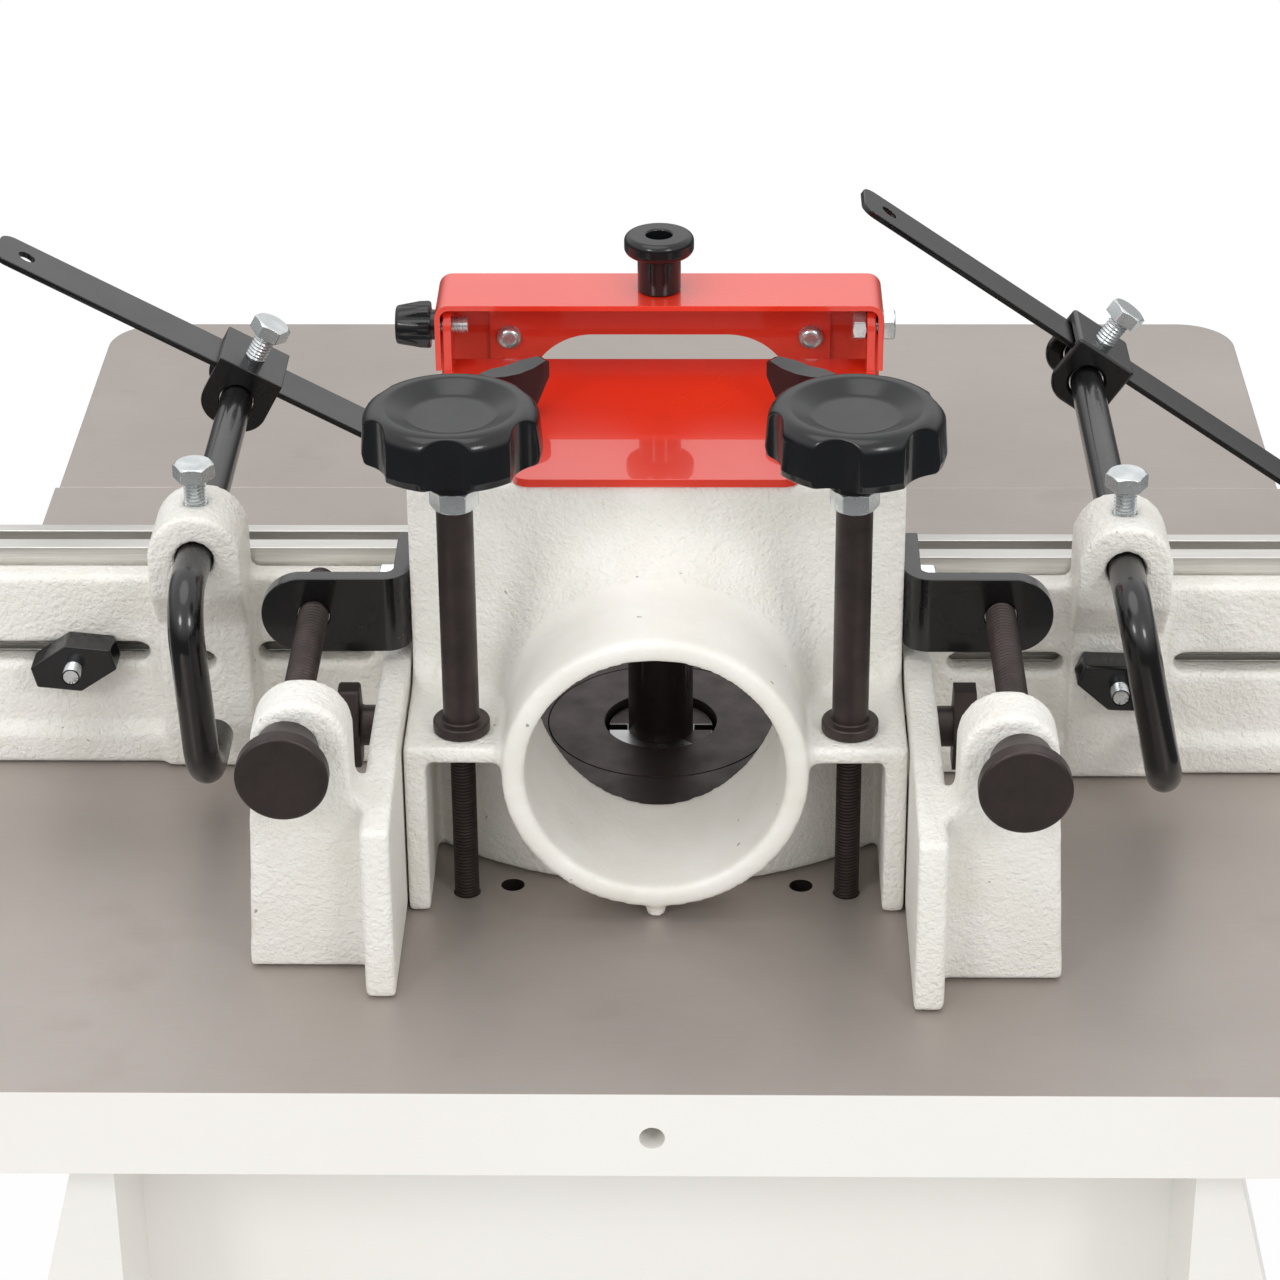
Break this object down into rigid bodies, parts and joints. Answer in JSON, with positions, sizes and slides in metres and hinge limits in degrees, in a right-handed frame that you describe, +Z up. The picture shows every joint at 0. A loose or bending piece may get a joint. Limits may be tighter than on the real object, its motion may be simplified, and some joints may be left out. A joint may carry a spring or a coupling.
{
  "type": "spindle moulder",
  "caption": "Floor-standing woodworking shaper: iron table on a steel cabinet, vertical spindle, split cast fence with dust port, tilting red guard and hold-downs.",
  "frame": {"origin": "centre of the footprint at floor level; the spindle axis stands 64.35 mm behind it", "axes": "+Z up from the floor along the spindle, +X along the fence towards the infeed side, +Y away from the operator towards the dust port"},
  "size_m": [0.69, 0.6094, 1.0512],
  "materials": {
    "table_iron": "ground flat on top, painted on the edges",
    "white_casting": "rough casting under off-white paint",
    "white_sheet": "smooth off-white paint",
    "red_paint": "glossy red paint",
    "black_knob": "moulded black",
    "black_oxide": "blackened steel, slightly brown",
    "black_enamel": "black enamel",
    "zinc": "bright zinc plate",
    "board_alloy": "drawn and anodised",
    "machine_iron": "grey casting, machined on its working faces",
    "bright_steel": "turned steel",
    "motor_paint": "dark grey paint",
    "belt_rubber": "black rubber",
    "switch_case": "black moulding",
    "green_button": "green moulding",
    "red_button": "red moulding"
  },
  "bodies": {
    "machine": {"cabinet_shell": "white_sheet", "rear_panel": "white_sheet", "levelling_feet": "belt_rubber", "table_main": "table_iron", "table_wing": "table_iron", "table_bolts": "zinc", "insert_ring_outer": "black_oxide", "insert_ring_inner": "black_oxide", "lift_way": "machine_iron", "gear_bracket": "machine_iron", "switch_box": "switch_case", "fence_housing": "white_casting", "clamp_sleeves": "black_oxide", "clamp_studs": "black_oxide", "adjust_brackets": "black_enamel", "bracket_bolts": "zinc"},
    "on_button": {"on_button": "green_button"},
    "off_button": {"off_button": "red_button"},
    "carriage": {"lift_slide": "machine_iron", "spindle_bearings": "bright_steel", "motor": "motor_paint", "drive_belt": "belt_rubber"},
    "spindle": {"spindle_shaft": "black_oxide", "spacer_collars": "black_oxide", "spindle_nut": "black_oxide", "spindle_pulley": "machine_iron"},
    "motor_rotor": {"motor_rotor": "motor_paint"},
    "handwheel": {"handwheel": "bright_steel", "handwheel_shaft": "bright_steel"},
    "handwheel_grip": {"handwheel_grip": "black_knob"},
    "lift_screw": {"lift_screw": "bright_steel"},
    "guard_base": {"guard_base": "red_paint", "hood_pivot_bolt": "zinc"},
    "guard_hood": {"guard_hood": "red_paint", "guard_shield": "red_paint", "shield_bolts": "zinc", "hood_handle": "black_knob"},
    "hood_lock_knob": {"hood_lock_knob": "black_knob"},
    "fence_half_infeed": {"fence_casting_infeed": "white_casting", "post_bolt_infeed": "zinc"},
    "fence_board_infeed": {"fence_board_infeed": "board_alloy"},
    "wing_knob_infeed": {"wing_knob_infeed": "black_knob"},
    "adjust_screw_infeed": {"adjust_screw_infeed": "black_oxide"},
    "lock_knob_infeed": {"lock_knob_infeed": "black_oxide"},
    "clamp_knob_infeed": {"clamp_knob_infeed": "black_knob"},
    "guard_wing_knob_infeed": {"guard_wing_knob_infeed": "black_knob"},
    "hold_down_rod_infeed": {"hold_down_rod_infeed": "black_enamel"},
    "hold_down_clamp_infeed": {"hold_down_clamp_infeed": "black_enamel"},
    "hold_down_bar_infeed": {"hold_down_bar_infeed": "black_enamel"},
    "fence_half_outfeed": {"fence_casting_outfeed": "white_casting", "post_bolt_outfeed": "zinc"},
    "fence_board_outfeed": {"fence_board_outfeed": "board_alloy"},
    "wing_knob_outfeed": {"wing_knob_outfeed": "black_knob"},
    "adjust_screw_outfeed": {"adjust_screw_outfeed": "black_oxide"},
    "lock_knob_outfeed": {"lock_knob_outfeed": "black_oxide"},
    "clamp_knob_outfeed": {"clamp_knob_outfeed": "black_knob"},
    "guard_wing_knob_outfeed": {"guard_wing_knob_outfeed": "black_knob"},
    "hold_down_rod_outfeed": {"hold_down_rod_outfeed": "black_enamel"},
    "hold_down_clamp_outfeed": {"hold_down_clamp_outfeed": "black_enamel"},
    "hold_down_bar_outfeed": {"hold_down_bar_outfeed": "black_enamel"}
  },
  "joints": [
    {"name": "handwheel_turn", "type": "hinge", "parent": "machine", "child": "handwheel", "pos_m": [-0.07, -0.18065, 0.455], "axis": [0, 1, 0], "range_deg": [-1800, 1620]},
    {"name": "lift_screw_turn", "type": "hinge", "parent": "machine", "child": "lift_screw", "pos_m": [-0.07, 0.08435, 0.6], "axis": [0, 0, 1], "range_deg": [-1802, 1622]},
    {"name": "spindle_lift", "type": "slide", "parent": "machine", "child": "carriage", "axis": [0, 0, 1], "range_m": [-0.0401, 0.0361]},
    {"name": "handwheel_grip_spin", "type": "hinge", "parent": "handwheel", "child": "handwheel_grip", "pos_m": [-0.07, -0.22065, 0.529], "axis": [0, 1, 0], "continuous": true},
    {"name": "motor_spin", "type": "hinge", "parent": "carriage", "child": "motor_rotor", "pos_m": [0.128, 0.06435, 0.61], "axis": [0, 0, 1], "continuous": true},
    {"name": "spindle_spin", "type": "hinge", "parent": "carriage", "child": "spindle", "pos_m": [0, 0.06435, 0.7], "axis": [0, 0, 1], "continuous": true},
    {"name": "on_press", "type": "slide", "parent": "machine", "child": "on_button", "axis": [0, 1, 0], "range_m": [0, 0.0045], "stiffness_N_per_m": 400},
    {"name": "off_press", "type": "slide", "parent": "machine", "child": "off_button", "axis": [0, 1, 0], "range_m": [0, 0.0045], "stiffness_N_per_m": 400},
    {"name": "adjust_turn_infeed", "type": "hinge", "parent": "fence_half_infeed", "child": "adjust_screw_infeed", "pos_m": [0.1175, 0.21435, 0.9525], "axis": [0, 1, 0], "range_deg": [-2424, 2424]},
    {"name": "fence_slide_infeed", "type": "slide", "parent": "machine", "child": "fence_half_infeed", "axis": [0, 1, 0], "range_m": [-0.01, 0.01]},
    {"name": "board_slide_infeed", "type": "slide", "parent": "fence_half_infeed", "child": "fence_board_infeed", "axis": [1, 0, 0], "range_m": [-0.02, 0.06]},
    {"name": "board_knob_turn_infeed", "type": "hinge", "parent": "fence_half_infeed", "child": "wing_knob_infeed", "pos_m": [0.21, 0.10435, 0.908], "axis": [0, 1, 0], "continuous": true},
    {"name": "fence_lock_turn_infeed", "type": "hinge", "parent": "machine", "child": "lock_knob_infeed", "pos_m": [0.105, 0.16235, 0.9174], "axis": [1, 0, 0], "continuous": true},
    {"name": "clamp_turn_infeed", "type": "hinge", "parent": "machine", "child": "clamp_knob_infeed", "pos_m": [0.0653, 0.18435, 1.03], "axis": [0, 0, 1], "continuous": true},
    {"name": "hold_down_reach_infeed", "type": "slide", "parent": "fence_half_infeed", "child": "hold_down_rod_infeed", "axis": [0, 1, 0], "range_m": [0, 0.025]},
    {"name": "hold_down_tilt_infeed", "type": "hinge", "parent": "hold_down_rod_infeed", "child": "hold_down_clamp_infeed", "pos_m": [0.163, -0.03565, 0.955], "axis": [0, 1, 0], "range_deg": [-6, 6]},
    {"name": "hold_down_bar_slide_infeed", "type": "slide", "parent": "hold_down_clamp_infeed", "child": "hold_down_bar_infeed", "axis": [0.878, 0, 0.4787], "range_m": [-0.005, 0.04]},
    {"name": "guard_knob_turn_infeed", "type": "hinge", "parent": "machine", "child": "guard_wing_knob_infeed", "pos_m": [0.05, 0.09835, 1.01], "axis": [0, 0, 1], "continuous": true},
    {"name": "adjust_turn_outfeed", "type": "hinge", "parent": "fence_half_outfeed", "child": "adjust_screw_outfeed", "pos_m": [-0.1175, 0.21435, 0.9525], "axis": [0, 1, 0], "range_deg": [-2424, 2424]},
    {"name": "fence_slide_outfeed", "type": "slide", "parent": "machine", "child": "fence_half_outfeed", "axis": [0, 1, 0], "range_m": [-0.01, 0.01]},
    {"name": "board_slide_outfeed", "type": "slide", "parent": "fence_half_outfeed", "child": "fence_board_outfeed", "axis": [-1, 0, 0], "range_m": [-0.02, 0.06]},
    {"name": "board_knob_turn_outfeed", "type": "hinge", "parent": "fence_half_outfeed", "child": "wing_knob_outfeed", "pos_m": [-0.163, 0.11435, 0.908], "axis": [0, 1, 0], "continuous": true},
    {"name": "fence_lock_turn_outfeed", "type": "hinge", "parent": "machine", "child": "lock_knob_outfeed", "pos_m": [-0.105, 0.16235, 0.9174], "axis": [1, 0, 0], "continuous": true},
    {"name": "clamp_turn_outfeed", "type": "hinge", "parent": "machine", "child": "clamp_knob_outfeed", "pos_m": [-0.0653, 0.18435, 1.03], "axis": [0, 0, 1], "continuous": true},
    {"name": "hold_down_reach_outfeed", "type": "slide", "parent": "fence_half_outfeed", "child": "hold_down_rod_outfeed", "axis": [0, 1, 0], "range_m": [0, 0.025]},
    {"name": "hold_down_tilt_outfeed", "type": "hinge", "parent": "hold_down_rod_outfeed", "child": "hold_down_clamp_outfeed", "pos_m": [-0.163, -0.03565, 0.955], "axis": [0, 1, 0], "range_deg": [-6, 6]},
    {"name": "hold_down_bar_slide_outfeed", "type": "slide", "parent": "hold_down_clamp_outfeed", "child": "hold_down_bar_outfeed", "axis": [0.8221, 0, 0.5693], "range_m": [-0.005, 0.04]},
    {"name": "guard_knob_turn_outfeed", "type": "hinge", "parent": "machine", "child": "guard_wing_knob_outfeed", "pos_m": [-0.05, 0.09835, 1.01], "axis": [0, 0, 1], "continuous": true},
    {"name": "guard_slide", "type": "slide", "parent": "machine", "child": "guard_base", "axis": [0, 1, 0], "range_m": [-0.006, 0.004]},
    {"name": "hood_tilt", "type": "hinge", "parent": "guard_base", "child": "guard_hood", "pos_m": [0, 0.05235, 1.019], "axis": [-1, 0, 0], "range_deg": [0, 90]},
    {"name": "hood_lock_turn", "type": "hinge", "parent": "guard_base", "child": "hood_lock_knob", "pos_m": [0.08, 0.05235, 1.019], "axis": [1, 0, 0], "continuous": true}
  ],
  "couplings": [
    {"joint": "lift_screw_turn", "follows": "handwheel_turn", "ratio": 1},
    {"joint": "spindle_lift", "follows": "handwheel_turn", "m_per_rad": 0.0012732},
    {"joint": "spindle_spin", "follows": "motor_spin", "ratio": 2.5455},
    {"joint": "adjust_turn_infeed", "follows": "fence_slide_infeed", "rad_per_m": 4188.8},
    {"joint": "adjust_turn_outfeed", "follows": "fence_slide_outfeed", "rad_per_m": 4188.8}
  ]
}
